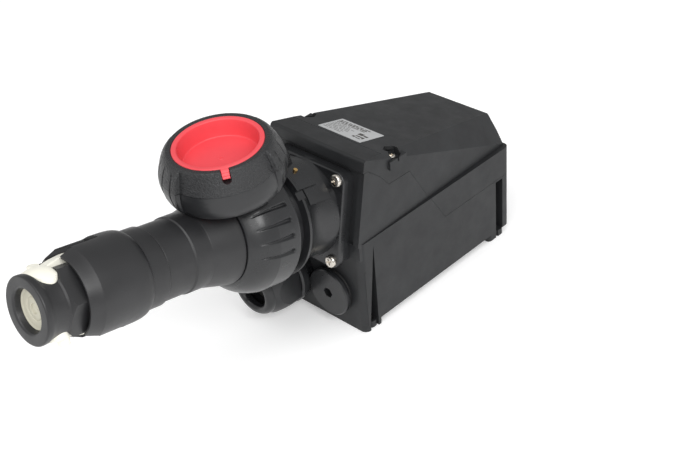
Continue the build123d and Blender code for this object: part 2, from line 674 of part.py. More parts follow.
# Coupling ring: a grip band that rounds over into the handle.
RING_START = 70.0
RING_END = 123.0
RING_R = 60.4
RING_TAIL_R = 44.2
BAND_END = 97.0
GROOVE_R = 1.9
GROOVE_ANGLES = [48.2 + 14.4 * i + 120 * group for group in range(3) for i in range(4)]
with BuildPart() as plug_coupling_ring:
    with BuildSketch(SOCKET_SECTION):
        with BuildLine():
            Polyline(
                (RING_TAIL_R, RING_END), (42.6, RING_END), (42.6, 84.4), (55.3, 84.4), (55.3, 79.0),
                (57.3, 78.0), (57.3, RING_START), (RING_R - 1.5, RING_START), (RING_R, RING_START + 2),
                (RING_R, BAND_END),
            )
            Spline(
                (RING_R, BAND_END), (58.9, 103.5), (57.2, 108.5), (54.6, 113.5), (51.0, 118.0),
                (RING_TAIL_R, RING_END),
            )
        make_face()
    revolve(axis=SOCKET_AXIS)
    # Tapering grip grooves, in three groups of four.
    for angle in GROOVE_ANGLES:
        radius = section_at(SOCKET, 90 - angle)
        start = radius.origin + radius.y_dir * 80.0 + radius.x_dir * (RING_R - 0.4)
        end = radius.origin + radius.y_dir * 118.0 + radius.x_dir * (RING_R - 3.4)
        with BuildSketch(Plane(origin=start, z_dir=end - start)):
            Circle(GROOVE_R)
        extrude(amount=(end - start).length, mode=Mode.SUBTRACT)
finish(plug_coupling_ring, "plug_coupling_ring", SATIN)

HANDLE_END = 205.0
with BuildPart() as plug_handle:
    with BuildSketch(SOCKET_SECTION):
        with BuildLine():
            Line((42.4, 123.6), (43.4, 123.6))
            Spline(
                (43.4, 123.6), (43.3, 126.0), (41.8, 133.0), (39.4, 143.0), (36.6, 156.0),
                tangents=((0.3, 1), (-0.24, 1)),
            )
            Polyline(
                (36.6, 156.0), (36.5, 174.4), (35.3, 175.6), (35.3, HANDLE_END - 0.8),
                (34.5, HANDLE_END), (30.0, HANDLE_END), (30.0, 150.0), (36.0, 130.0),
                (36.0, 126.0), (42.4, 126.0), (42.4, 123.6),
            )
        make_face()
    revolve(axis=SOCKET_AXIS)
finish(plug_handle, "plug_handle", SATIN)

# Rear shell with its thick sleeve, slotted over the cable clamp.
CLAMP_ANGLE = 90 + 27     # the plug stands turned in its socket
SLEEVE_END = 289.0
SLOT_HALF = 13.0
CLAMP_SECTION = section_at(SOCKET, CLAMP_ANGLE)
CLAMP_FACE = Plane(origin=SOCKET_ORIGIN, x_dir=CLAMP_SECTION.x_dir, z_dir=SOCKET.z_dir)
with BuildPart() as plug_rear_shell:
    with BuildSketch(SOCKET_SECTION):
        with BuildLine():
            Polyline((27.0, 196.0), (30.0, 196.0), (30.0, 205.3), (36.2, 205.3), (37.0, 206.1), (37.0, 223.5))
            Spline(
                (37.0, 223.5), (38.6, 224.8), (40.1, 227.4), (41.1, 231.5), (41.5, 242.0),
                tangents=((0.9, 0.4), (0, 1)),
            )
            Polyline(
                (41.5, 242.0), (41.5, 277.0), (37.9, 287.0), (37.0, SLEEVE_END), (34.8, SLEEVE_END),
                (34.8, 240.0), (30.0, 234.0), (30.0, 230.0), (27.0, 226.0), (27.0, 196.0),
            )
        make_face()
    revolve(axis=SOCKET_AXIS)
    with BuildSketch(CLAMP_FACE.offset(248.0)):
        Rectangle(120, 2 * SLOT_HALF)
        Rectangle(2 * 30.0, 4 * SLOT_HALF, mode=Mode.SUBTRACT)
    extrude(amount=60, mode=Mode.SUBTRACT)
finish(plug_rear_shell, "plug_rear_shell", SATIN)

CLAMP_HALF = 12.0
HEXAGON_R = 34.5
HEXAGON_START = 262.0
SEAL_FRONT = 319.4
with BuildPart() as clamp_hexagon:
    with BuildSketch(CLAMP_FACE.offset(HEXAGON_START)):
        RegularPolygon(HEXAGON_R, 6, rotation=20)
    extrude(amount=SEAL_FRONT - HEXAGON_START)
    with BuildSketch(SOCKET_SECTION):
        Polygon(
            (20.0, HEXAGON_START), (HEXAGON_R + 0.1, HEXAGON_START), (HEXAGON_R + 0.1, 292.0),
            (29.9, 298.5), (27.9, 305.0), (20.0, 305.0), align=None,
        )
    revolve(axis=SOCKET_AXIS, mode=Mode.INTERSECT)

with BuildPart() as plug_clamp_body:
    with BuildSketch(SOCKET_SECTION):
        with BuildLine():
            Polyline(
                (20.0, 230.0), (30.0, 230.0), (30.0, 236.0), (29.6, 236.0), (29.6, 296.0),
            )
            Spline(
                (29.6, 296.0), (27.4, 303.0), (27.2, 309.0), (28.9, 316.0),
                tangents=((-0.4, 1), (0.3, 1)),
            )
            Polyline(
                (28.9, 316.0), (30.2, 318.0), (30.9, 320.5), (30.9, 324.8), (30.0, 326.0),
                (21.0, 326.0), (19.5, 324.6), (17.0, SEAL_FRONT), (20.0, SEAL_FRONT), (20.0, 230.0),
            )
        make_face()
    revolve(axis=SOCKET_AXIS)
    add(clamp_hexagon.part)
    # Windows for the clamp jaws, rounded where they end behind the face.
    for side in (-1, 1):
        with BuildSketch(Plane(
            origin=SOCKET_ORIGIN, x_dir=CLAMP_FACE.y_dir, z_dir=CLAMP_SECTION.x_dir * side,
        )):
            with Locations((0, side * 280.0)):
                Rectangle(2 * CLAMP_HALF, 44.0)
            with Locations((0, side * 304.0)):
                Ellipse(CLAMP_HALF + 5.0, 11.0)
        extrude(amount=40, mode=Mode.SUBTRACT)
finish(plug_clamp_body, "plug_clamp_body", SATIN)

# Two saddle-shaped jaws that grip the cable, and the screws that draw them together.
JAW_HALF = CLAMP_HALF - 0.6
with BuildPart() as clamp_jaws:
    for side in (-1, 1):
        with BuildSketch(Plane(
            origin=SOCKET_ORIGIN + CLAMP_SECTION.x_dir * side * 21.0,
            x_dir=CLAMP_FACE.y_dir, z_dir=CLAMP_SECTION.x_dir * side,
        )):
            with Locations((0, side * 285.0)):
                RectangleRounded(2 * JAW_HALF, 54.0, 9.0)
        extrude(amount=10.5)
        with BuildSketch(Plane(
            origin=SOCKET_ORIGIN + CLAMP_SECTION.x_dir * side * 31.0,
            x_dir=CLAMP_FACE.y_dir, z_dir=CLAMP_SECTION.x_dir * side,
        )):
            with Locations((0, side * 274.0)):
                RectangleRounded(2 * JAW_HALF, 26.0, 4.0)
        extrude(amount=4.0)
    with BuildSketch(CLAMP_FACE.offset(240)):
        Circle(23.0)
    extrude(amount=80, mode=Mode.SUBTRACT)
finish(clamp_jaws, "clamp_jaws", IVORY)

CLAMP_SCREW_OUT = 274.0
with BuildPart() as clamp_screws:
    for side in (-1, 1):
        with BuildSketch(Plane(
            origin=SOCKET_ORIGIN + CLAMP_SECTION.x_dir * side * 35.0,
            x_dir=CLAMP_FACE.y_dir, z_dir=CLAMP_SECTION.x_dir * side,
        )):
            with Locations((-6.0, side * CLAMP_SCREW_OUT), (6.0, side * CLAMP_SCREW_OUT)):
                Circle(3.0)
        extrude(amount=2.4)
finish(clamp_screws, "clamp_screws", STEEL)

# Split disc that closes the cable entry until a cable is fitted.
with BuildPart() as cable_seal:
    with BuildSketch(SOCKET_SECTION):
        Polygon((0, 315.6), (20.0, 315.6), (20.0, SEAL_FRONT), (16.0, SEAL_FRONT), (12.0, 317.4),
                (0, 317.4), align=None)
    revolve(axis=SOCKET_AXIS)
finish(cable_seal, "cable_seal", IVORY)

# ---------------------------------------------------------------- cable gland
GLAND_END = 60.5
with BuildPart() as gland_body:
    with BuildSketch(entry_section(GLAND_SITE)):
        Polygon(
            (ENTRY_R - 4, -FRONT_WALL), (ENTRY_R, -FRONT_WALL), (ENTRY_R, 0.0), (33.0, 0.0),
            (33.4, 8.2), (35.2, 9.6), (35.2, 17.0), (33.6, 19.0), (23.5, 19.0), (23.5, 40.0),
            (ENTRY_R - 4, 40.0), align=None,
        )
    revolve(axis=entry_axis(GLAND_SITE))
finish(gland_body, "gland_body", SATIN)

with BuildPart() as gland_cap_nut:
    with BuildSketch(entry_plane(GLAND_SITE, 19.4)):
        RegularPolygon(35.4, 6, rotation=12)
    extrude(amount=22)
    with BuildSketch(entry_section(GLAND_SITE)):
        with BuildLine():
            Polyline((0, 19.4), (33.4, 19.4), (33.4, 40.0), (32.9, 44.0))
            Spline(
                (32.9, 44.0), (31.6, 52.0), (28.6, 58.0), (25.0, GLAND_END),
                tangents=((0, 1), (-1, 0.1)),
            )
            Polyline((25.0, GLAND_END), (0, GLAND_END), (0, 19.4))
        make_face()
    revolve(axis=entry_axis(GLAND_SITE))
    with BuildSketch(entry_section(GLAND_SITE)):
        with BuildLine():
            Polyline((35.4, 19.0), (40.0, 19.0), (40.0, 45.0), (33.4, 45.0), (33.4, 41.5), (35.4, 38.0),
                     (35.4, 19.0))
        make_face()
    revolve(axis=entry_axis(GLAND_SITE), mode=Mode.SUBTRACT)
    with BuildSketch(entry_section(GLAND_SITE)):
        Polygon((0, 19.0), (24.0, 19.0), (24.0, 46.0), (18.5, 52.0), (18.5, 58.0), (21.0, 61.0),
                (0, 61.0), align=None)
    revolve(axis=entry_axis(GLAND_SITE), mode=Mode.SUBTRACT)
finish(gland_cap_nut, "gland_cap_nut", SATIN)

with BuildPart() as gland_seal:
    with BuildSketch(entry_section(GLAND_SITE)):
        Polygon((9.0, 24.0), (16.0, 24.0), (16.0, 44.0), (9.0, 44.0), align=None)
    revolve(axis=entry_axis(GLAND_SITE))
finish(gland_seal, "gland_seal", RUBBER)

# ---------------------------------------------------------------- blanking plug
with BuildPart() as blanking_plug:
    with BuildSketch(entry_section(PLUGGED_SITE)):
        Polygon(
            (0, -FRONT_WALL), (ENTRY_R, -FRONT_WALL), (ENTRY_R, 2.0), (24.0, 2.0), (25.6, 3.4), (26.5, 5.0),
            (26.5, 8.6), (25.4, 9.75), (0, 9.75), align=None,
        )
    revolve(axis=entry_axis(PLUGGED_SITE))
    with BuildSketch(entry_plane(PLUGGED_SITE, 3.5)):
        RegularPolygon(6.0, 6)
    extrude(amount=10, mode=Mode.SUBTRACT)
    with BuildSketch(entry_plane(PLUGGED_SITE, -2 * FRONT_WALL)):
        Circle(ENTRY_R - 3)
    extrude(amount=2 * FRONT_WALL - 2, mode=Mode.SUBTRACT)
finish(blanking_plug, "blanking_plug", SATIN)

with BuildPart() as blanking_seal:
    with BuildSketch(entry_plane(PLUGGED_SITE)):
        Circle(23.6)
        Circle(ENTRY_R, mode=Mode.SUBTRACT)
    extrude(amount=2)
finish(blanking_seal, "blanking_seal", RUBBER)

# ---------------------------------------------------------------- hinged cap
CAP_HEIGHT = 47.6
CAP_BORE = 47.5
POCKET_TOP_R = 37.4
POCKET_FLOOR_R = 35.2
POCKET_DEPTH = 17.5
CENTRE_R = 42.6
NOTCH_ANGLE = 55.8 - 90   # angles in the cap are from its x towards its y
NOTCH_HALF = 4.0
NOTCH_DEPTH = 12.0
LOBE_CENTRES = (-34.0 - 90, 146.0 - 90)
LOBE_HALF = 37.0
LOBE_GROOVES = 4

with BuildPart() as cap_cover:
    with BuildSketch(CAP_SECTION):
        with BuildLine():
            Polyline(
                (CENTRE_R + 0.2, -20.8), (CENTRE_R + 0.2, -0.9), (43.6, -0.3), (47.3, -0.3),
                (48.3, -1.2), (54.5, -22.8),
            )
            Spline(
                (54.5, -22.8), (55.9, -31.0), (55.4, -39.0), (52.6, -45.4), (49.8, -CAP_HEIGHT),
                tangents=((0.2, -1), (-1, -0.3)),
            )
            Polyline(
                (49.8, -CAP_HEIGHT), (CAP_BORE, -CAP_HEIGHT), (CAP_BORE, -39.0), (49.2, -39.0),
                (49.2, -35.0), (CAP_BORE, -35.0), (CAP_BORE, -20.8), (CENTRE_R + 0.2, -20.8),
            )
        make_face()
    revolve(axis=CAP_AXIS)
    # Raised finger grips on two sides, each cut by grooves.
    for centre in LOBE_CENTRES:
        with BuildSketch(section_at(CAP, centre - LOBE_HALF)):
            with BuildLine():
                Polyline((47.0, -4.0), (47.4, -0.8), (49.6, -1.0), (54.6, -6.5))
                Spline(
                    (54.6, -6.5), (58.0, -16.5), (59.2, -27.0), (58.2, -38.0), (54.6, -44.6),
                    (50.4, -CAP_HEIGHT + 0.3), tangents=((0.4, -1), (-1, -0.3)),
                )
                Polyline((50.4, -CAP_HEIGHT + 0.3), (49.6, -CAP_HEIGHT + 1), (49.6, -30), (47.0, -4.0))
            make_face()
        revolve(axis=CAP_AXIS, revolution_arc=2 * LOBE_HALF)
        for i in range(LOBE_GROOVES):
            angle = centre + (i - (LOBE_GROOVES - 1) / 2) * 2 * LOBE_HALF / (LOBE_GROOVES + 1)
            with BuildSketch(section_at(CAP, angle - 1.6)):
                Polygon((47.9, 1), (66, 1), (66, -50), (55.0, -50), (57.2, -38), (57.6, -27),
                        (56.4, -16.5), (52.8, -6), align=None)
            revolve(axis=CAP_AXIS, revolution_arc=3.2, mode=Mode.SUBTRACT)
    # Index notch in the rim.
    notch = section_at(CAP, NOTCH_ANGLE)
    with BuildSketch(Plane(origin=CAP.origin, x_dir=CAP.z_dir, z_dir=notch.x_dir)):
        with Locations((1 - NOTCH_DEPTH / 2 + NOTCH_HALF / 2, 0)):
            Rectangle(NOTCH_DEPTH - NOTCH_HALF + 2, 2 * NOTCH_HALF)
        with Locations((-NOTCH_DEPTH + NOTCH_HALF, 0)):
            Circle(NOTCH_HALF)
    extrude(amount=70, mode=Mode.SUBTRACT)
finish(cap_cover, "cap_cover", SATIN)

with BuildPart() as cap_centre:
    with BuildSketch(CAP_SECTION):
        Polygon(
            (0, -POCKET_DEPTH), (POCKET_FLOOR_R - 1, -POCKET_DEPTH),
            (POCKET_FLOOR_R, -POCKET_DEPTH + 1), (POCKET_TOP_R, -0.6), (POCKET_TOP_R + 0.6, 0),
            (CENTRE_R - 0.4, 0), (CENTRE_R, -0.5), (CENTRE_R, -20.8), (46.0, -20.8),
            (46.0, -23.5), (0, -23.5), align=None,
        )
    revolve(axis=CAP_AXIS)
    # Ribbed pointer that stands in the notch.
    with BuildSketch(Plane(origin=CAP.origin, x_dir=CAP.z_dir, z_dir=notch.x_dir).offset(CENTRE_R - 1)):
        with Locations((-5.2, 0)):
            Rectangle(9.0, 2 * NOTCH_HALF - 1.6)
    extrude(amount=6.8)
finish(cap_centre, "cap_centre", RED)

with BuildPart() as cap_seal:
    with BuildSketch(CAP_SECTION):
        Polygon((33.0, -23.5), (46.5, -23.5), (46.5, -26.5), (33.0, -26.5), align=None)
    revolve(axis=CAP_AXIS)
finish(cap_seal, "cap_seal", RUBBER)

# Carrier ring inside the cover, with the arm that reaches the hinge pin.
ARM_HALF = 12.0
HINGE_OFFSET = Vector(0, *HINGE_YZ) - Vector(*CAP_TOP)
HINGE_IN_CAP = (HINGE_OFFSET.dot(CAP.y_dir), HINGE_OFFSET.dot(CAP.z_dir))
CAP_SIDE = Plane(origin=CAP_TOP, x_dir=CAP.y_dir, z_dir=(1, 0, 0))
TONGUE_END = HINGE_IN_CAP[0] - EAR_R - 2.5
LUG_HALF = EAR_X - EAR_T / 2 - GAP
with BuildPart() as cap_arm:
    with BuildSketch(CAP_SECTION):
        Polygon(
            (43.5, -CAP_HEIGHT + 0.8), (CAP_BORE - 0.4, -CAP_HEIGHT + 0.8), (CAP_BORE - 0.4, -38.6),
            (48.8, -38.6), (48.8, -35.4), (CAP_BORE - 0.4, -35.4), (CAP_BORE - 0.4, -30.0),
            (43.5, -30.0), align=None,
        )
    revolve(axis=CAP_AXIS)
    # A wide tongue as far as the ears, then a lug between them.
    with BuildSketch(CAP_SIDE.offset(-ARM_HALF)):
        Polygon(
            (43.8, -CAP_HEIGHT + 2.0), (43.8, -CAP_HEIGHT - 3.6), (TONGUE_END, -CAP_HEIGHT - 5.4),
            (TONGUE_END, -CAP_HEIGHT - 0.6), (45.4, -CAP_HEIGHT - 0.6),
            (45.4, -CAP_HEIGHT + 2.0), align=None,
        )
    extrude(amount=2 * ARM_HALF)
    with BuildSketch(CAP_SIDE.offset(-LUG_HALF)):
        Polygon(
            (45.4, -CAP_HEIGHT - 3.7), (HINGE_IN_CAP[0], HINGE_IN_CAP[1] - EAR_R),
            (HINGE_IN_CAP[0], -CAP_HEIGHT - 0.6), (45.4, -CAP_HEIGHT - 0.6), align=None,
        )
        with Locations(HINGE_IN_CAP):
            Circle(EAR_R)
            Circle(PIN_R, mode=Mode.SUBTRACT)
    extrude(amount=2 * LUG_HALF)
finish(cap_arm, "cap_arm", SATIN)
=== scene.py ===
"""Looks of a wall-mounted industrial socket box with its plug inserted.

Shapes are in millimetres, and MM turns them into metres. The lights and the camera are placed in metres.
"""

import json
from math import cos, pi, radians, sin

import bmesh
import bpy
from mathutils import Matrix, Vector


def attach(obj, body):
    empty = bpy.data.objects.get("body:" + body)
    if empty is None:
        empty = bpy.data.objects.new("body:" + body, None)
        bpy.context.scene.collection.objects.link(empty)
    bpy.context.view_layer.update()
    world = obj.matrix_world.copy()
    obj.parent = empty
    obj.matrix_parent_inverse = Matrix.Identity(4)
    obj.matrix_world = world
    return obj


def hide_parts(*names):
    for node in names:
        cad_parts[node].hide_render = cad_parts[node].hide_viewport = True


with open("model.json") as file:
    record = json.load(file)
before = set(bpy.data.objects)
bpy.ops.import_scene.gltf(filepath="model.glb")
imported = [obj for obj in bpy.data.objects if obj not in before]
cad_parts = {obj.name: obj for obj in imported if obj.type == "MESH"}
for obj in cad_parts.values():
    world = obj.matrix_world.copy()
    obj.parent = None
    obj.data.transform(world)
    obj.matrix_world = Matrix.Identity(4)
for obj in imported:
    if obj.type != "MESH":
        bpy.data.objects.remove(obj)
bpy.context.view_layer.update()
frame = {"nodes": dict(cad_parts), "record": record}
nodes = frame["nodes"]
MM = 0.001


# ---------------------------------------------------------------- frames of reference
FRONT_Y = -116.5
TILT = radians(11.5)
LEAN = radians(4.4)


class Frame:
    """Local x, y and z axes at a point, in millimetres. A turned piece spins about z."""

    def __init__(self, origin, z, x=(1, 0, 0)):
        self.origin = Vector(origin)
        self.z = Vector(z).normalized()
        self.x = Vector(x)
        self.y = self.z.cross(self.x)

    def at(self, radius, angle, along):
        a = radians(angle)
        return (self.origin + self.z * along + (self.x * cos(a) + self.y * sin(a)) * radius) * MM

    def place(self, x, y, z):
        return (self.origin + self.x * x + self.y * y + self.z * z) * MM


SOCKET = Frame((0, FRONT_Y, 134.1), (0, -cos(TILT), sin(TILT)))
CAP = Frame((0, FRONT_Y - 101.2, 254.0), (0, -sin(LEAN), cos(LEAN)))
GLAND = Frame((-37.5, FRONT_Y, 42.0), (0, -1, 0))
CAP_CREASE = -22.4    # height of the crease between the cap's cone and its belt, in the cap's frame


# ---------------------------------------------------------------- materials
def graph(name):
    material = bpy.data.materials.new(name)
    material.use_nodes = True
    tree = material.node_tree
    return material, tree, tree.nodes["Principled BSDF"]


def noise(tree, scale, detail=4.0, rough=0.55, stretch=None):
    coords = tree.nodes.new("ShaderNodeTexCoord")
    out = coords.outputs["Object"]
    if stretch:
        mapping = tree.nodes.new("ShaderNodeMapping")
        mapping.inputs["Scale"].default_value = stretch
        tree.links.new(out, mapping.inputs["Vector"])
        out = mapping.outputs["Vector"]
    node = tree.nodes.new("ShaderNodeTexNoise")
    node.inputs["Scale"].default_value = scale
    node.inputs["Detail"].default_value = detail
    node.inputs["Roughness"].default_value = rough
    tree.links.new(out, node.inputs["Vector"])
    return node.outputs["Fac"]


def remap(tree, value, low, high, start=0.0, end=1.0):
    node = tree.nodes.new("ShaderNodeMapRange")
    node.inputs["From Min"].default_value = start
    node.inputs["From Max"].default_value = end
    node.inputs["To Min"].default_value = low
    node.inputs["To Max"].default_value = high
    tree.links.new(value, node.inputs["Value"])
    return node.outputs["Result"]


def blend_colour(tree, fac, a, b):
    node = tree.nodes.new("ShaderNodeMix")
    node.data_type = "RGBA"
    for socket, colour in ((node.inputs[6], a), (node.inputs[7], b)):
        if isinstance(colour, (tuple, list)):
            socket.default_value = (*colour, 1.0)
        else:
            tree.links.new(colour, socket)
    tree.links.new(fac, node.inputs[0])
    return node.outputs[2]


def bump(tree, shader, *layers):
    """Layers of (height, strength, distance in metres), finest first."""
    normal = None
    for height, strength, distance in layers:
        node = tree.nodes.new("ShaderNodeBump")
        node.inputs["Strength"].default_value = strength
        node.inputs["Distance"].default_value = distance
        tree.links.new(height, node.inputs["Height"])
        if normal:
            tree.links.new(normal, node.inputs["Normal"])
        normal = node.outputs["Normal"]
    tree.links.new(normal, shader.inputs["Normal"])


def moulded(name, base, light, rough, grain=2600.0, grain_depth=0.25, spec=0.5, coarse=None):
    """Moulded plastic: fine spark grain, uneven gloss and faint colour drift. coarse adds a rougher grain."""
    material, tree, shader = graph(name)
    drift = remap(tree, noise(tree, 18.0, 5.0), 0.0, 1.0, 0.35, 0.7)
    colour = blend_colour(tree, drift, base, light)
    tree.links.new(colour, shader.inputs["Base Color"])
    gloss = remap(tree, noise(tree, 45.0, 6.0, 0.6), rough - 0.06, rough + 0.07, 0.3, 0.7)
    tree.links.new(gloss, shader.inputs["Roughness"])
    shader.inputs["Specular IOR Level"].default_value = spec
    layers = [(noise(tree, grain, 3.0, 0.6), grain_depth, 0.00012), (noise(tree, 60.0, 3.0), 0.08, 0.0006)]
    if coarse:
        layers.append((coarse(tree), 1.0, 0.0011))
    bump(tree, shader, *layers)
    return material


def cone_grain(tree):
    """Coarse grain on the upper cone of the cap only, ending at the belt crease."""
    coords = tree.nodes.new("ShaderNodeTexCoord")
    height = tree.nodes.new("ShaderNodeVectorMath")
    height.operation = "DOT_PRODUCT"
    height.inputs[1].default_value = CAP.z
    tree.links.new(coords.outputs["Object"], height.inputs[0])
    crease = (CAP.z.dot(CAP.origin) + CAP_CREASE) * MM
    mask = remap(tree, height.outputs["Value"], 0.0, 1.0, crease, crease + 0.6 * MM)
    node = tree.nodes.new("ShaderNodeMath")
    node.operation = "MULTIPLY"
    tree.links.new(noise(tree, 620.0, 2.0, 0.6), node.inputs[0])
    tree.links.new(mask, node.inputs[1])
    return node.outputs["Value"]


def metal(name, colour, rough, brushed=(1.0, 1.0, 1.0), scale=900.0):
    material, tree, shader = graph(name)
    shader.inputs["Metallic"].default_value = 1.0
    fac = remap(tree, noise(tree, 40.0, 5.0), 0.0, 1.0, 0.35, 0.65)
    dark = tuple(c * 0.78 for c in colour)
    tree.links.new(blend_colour(tree, fac, dark, colour), shader.inputs["Base Color"])
    lines = noise(tree, scale, 3.0, 0.6, brushed)
    tree.links.new(remap(tree, lines, rough - 0.07, rough + 0.1, 0.3, 0.7), shader.inputs["Roughness"])
    bump(tree, shader, (lines, 0.15, 0.00008))
    return material


BOX_BLACK = (0.012, 0.0125, 0.0135)
GLOSS_BLACK = (0.010, 0.0105, 0.0115), (0.014, 0.0145, 0.016)   # base and lighter drift
M = {
    "housing_black": moulded("housing_black", BOX_BLACK, (0.016, 0.017, 0.0185), 0.52, spec=0.38),
    "cover_black": moulded("cover_black", BOX_BLACK, (0.017, 0.018, 0.0195), 0.52, spec=0.36),
    "fitting_black": moulded("fitting_black", *GLOSS_BLACK, 0.3),
    "cap_black": moulded("cap_black", *GLOSS_BLACK, 0.36, coarse=cone_grain),
    "plug_black": moulded("plug_black", (0.012, 0.012, 0.013), (0.017, 0.0172, 0.0185), 0.42),
    "signal_red": moulded("signal_red", (0.70, 0.055, 0.07), (0.78, 0.075, 0.09), 0.42, 1600.0, 0.12),
    "ivory_plastic": moulded("ivory_plastic", (0.82, 0.80, 0.70), (0.87, 0.85, 0.76), 0.42, 1800.0, 0.12),
    # Darker copy of the ivory: painted shade for the split disc and its ridge, which sit deep in the clamp's
    # mouth.
    "disc_ivory_painted_shade": moulded("disc_ivory_painted_shade", (0.46, 0.44, 0.35), (0.54, 0.52, 0.42), 0.4, 1800.0, 0.12),
    "grey_plastic": moulded("grey_plastic", (0.25, 0.26, 0.28), (0.30, 0.31, 0.33), 0.5),
    "steel": metal("steel", (0.70, 0.66, 0.60), 0.22),
    "brass": metal("brass", (0.80, 0.52, 0.20), 0.24),
    "seal_rubber": moulded("seal_rubber", (0.010, 0.010, 0.010), (0.016, 0.016, 0.016), 0.72, 1200.0, 0.4),
    "label_silver": moulded("label_silver", (0.38, 0.385, 0.39), (0.44, 0.445, 0.45), 0.4, 1200.0, 0.1),
    "print": moulded("print", (0.05, 0.045, 0.04), (0.08, 0.075, 0.07), 0.6, 1200.0, 0.1, spec=0.2),
}
slots = {s["node"]: s["material_slot"] for s in frame["record"]["subparts"]}


def paint(obj, slot, look=None):
    obj.data.materials.clear()
    obj.data.materials.append(M[look or slot])


for name, node in nodes.items():
    paint(node, slots[name])
    node.data.polygons.foreach_set("use_smooth", [True] * len(node.data.polygons))
    node.data.set_sharp_from_angle(angle=radians(30))
    bevel = node.modifiers.new("edge", "BEVEL")
    bevel.width = 0.4 * MM
    bevel.segments = 2
    bevel.limit_method = "ANGLE"
    bevel.angle_limit = radians(38)
    bevel.harden_normals = True


# ---------------------------------------------------------------- mesh tools
def lerp(a, b, t):
    return a + (b - a) * t


def ease(t):
    t = min(1.0, max(0.0, t))
    return t * t * (3 - 2 * t)


def window(value, low, high, ramp):
    """1 between low and high, easing to 0 over ramp outside them."""
    return ease((value - low) / ramp + 1) * ease((high - value) / ramp + 1)


def apart(a, b):
    """Signed angle from b to a, in degrees."""
    return (a - b + 180) % 360 - 180


def rounded(points, steps=4, close=True):
    """Outline from (x, y) or (x, y, corner radius), with each corner rounded by an arc."""
    out = []
    count = len(points)
    for i, p in enumerate(points):
        here = Vector(p[:2])
        radius = p[2] if len(p) > 2 else 0.0
        if not radius or (not close and i in (0, count - 1)):
            out.append(tuple(here))
            continue
        before = Vector(points[i - 1][:2]) - here
        after = Vector(points[(i + 1) % count][:2]) - here
        reach = min(radius, 0.49 * before.length, 0.49 * after.length)
        a = here + before.normalized() * reach
        b = here + after.normalized() * reach
        for k in range(steps + 1):
            t = k / steps
            out.append(tuple(a * (1 - t) ** 2 + here * 2 * t * (1 - t) + b * t * t))
    return out


def curve(points, steps=6):
    """Smooth line through points (Catmull-Rom)."""
    out = []
    ends = [points[0], *points, points[-1]]
    for i in range(1, len(ends) - 2):
        p0, p1, p2, p3 = (Vector(p) for p in ends[i - 1:i + 3])
        for k in range(steps):
            t = k / steps
            out.append(tuple(0.5 * (
                2 * p1 + (p2 - p0) * t + (2 * p0 - 5 * p1 + 4 * p2 - p3) * t * t
                + (3 * p1 - p0 - 3 * p2 + p3) * t ** 3
            )))
    out.append(tuple(points[-1]))
    return out


def link(name, mesh, slot, body, replaced=(), sharp=32.0, bevel=0.0, limit=38.0, look=None):
    """Object from a mesh, painted, riding on its body and standing for CAD nodes."""
    mesh.polygons.foreach_set("use_smooth", [True] * len(mesh.polygons))
    mesh.set_sharp_from_angle(angle=radians(sharp))
    obj = bpy.data.objects.new(name, mesh)
    bpy.context.scene.collection.objects.link(obj)
    paint(obj, slot, look)
    if bevel:
        soften(obj, bevel, limit)
    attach(obj, body)
    if replaced:
        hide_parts(*replaced)
    return obj


def soften(obj, width, limit=38.0):
    """Round the edges that are sharper than limit, in degrees."""
    edge = obj.modifiers.new("edge", "BEVEL")
    edge.width = width * MM
    edge.segments = 3
    edge.limit_method = "ANGLE"
    edge.angle_limit = radians(limit)
    edge.harden_normals = True
    edge.use_clamp_overlap = True


def even(count):
    """Angles spaced evenly round a circle, in degrees."""
    return [360 * i / count for i in range(count)]


def turned(name, axes, profile, angles=None, shape=None, closed=True):
    """Mesh turned about the z axis of axes. shape(angle, radius, along) may move each point off the axis.

    A point on the axis becomes one vertex. An open profile has its ends on the axis.
    """
    angles = angles or even(144)
    form = bmesh.new()
    rings = []
    for radius, along in profile:
        if radius < 1e-6:
            rings.append([form.verts.new(axes.at(0, 0, along))])
            continue
        ring = []
        for angle in angles:
            r, s = (radius, along) if shape is None else shape(angle, radius, along)
            ring.append(form.verts.new(axes.at(r, angle, s)))
        rings.append(ring)
    pairs = list(zip(rings, rings[1:]))
    if closed:
        pairs.append((rings[-1], rings[0]))
    for low, high in pairs:
        for i in range(len(angles)):
            j = (i + 1) % len(angles)
            if len(low) == 1 and len(high) == 1:
                continue
            if len(low) == 1:
                form.faces.new((low[0], high[j], high[i]))
            elif len(high) == 1:
                form.faces.new((low[i], low[j], high[0]))
            else:
                form.faces.new((low[i], low[j], high[j], high[i]))
    bmesh.ops.remove_doubles(form, verts=form.verts, dist=2e-6)
    bmesh.ops.dissolve_degenerate(form, edges=form.edges, dist=2e-6)
    bmesh.ops.recalc_face_normals(form, faces=form.faces)
    mesh = bpy.data.meshes.new(name)
    form.to_mesh(mesh)
    form.free()
    return mesh


def prism(form, axes, outline, start, end):
    """Extrude an outline in the x-y plane of axes from start to end along z."""
    low = [form.verts.new(axes.place(x, y, start)) for x, y in outline]
    high = [form.verts.new(axes.place(x, y, end)) for x, y in outline]
    form.faces.new(low)
    form.faces.new(high)
    for i in range(len(outline)):
        j = (i + 1) % len(outline)
        form.faces.new((low[i], low[j], high[j], high[i]))


def solid(name, *prisms):
    """Mesh of one or more prisms, each given as axes, outline, start and end."""
    form = bmesh.new()
    for axes, outline, start, end in prisms:
        prism(form, axes, outline, start, end)
    bmesh.ops.recalc_face_normals(form, faces=form.faces)
    mesh = bpy.data.meshes.new(name)
    form.to_mesh(mesh)
    form.free()
    return mesh


def slab(width, height, radius, x=0.0, y=0.0, steps=6):
    """Rectangle outline with rounded corners."""
    corners = ((1, 1), (-1, 1), (-1, -1), (1, -1))
    return rounded([(x + sx * width / 2, y + sy * height / 2, radius) for sx, sy in corners], steps)


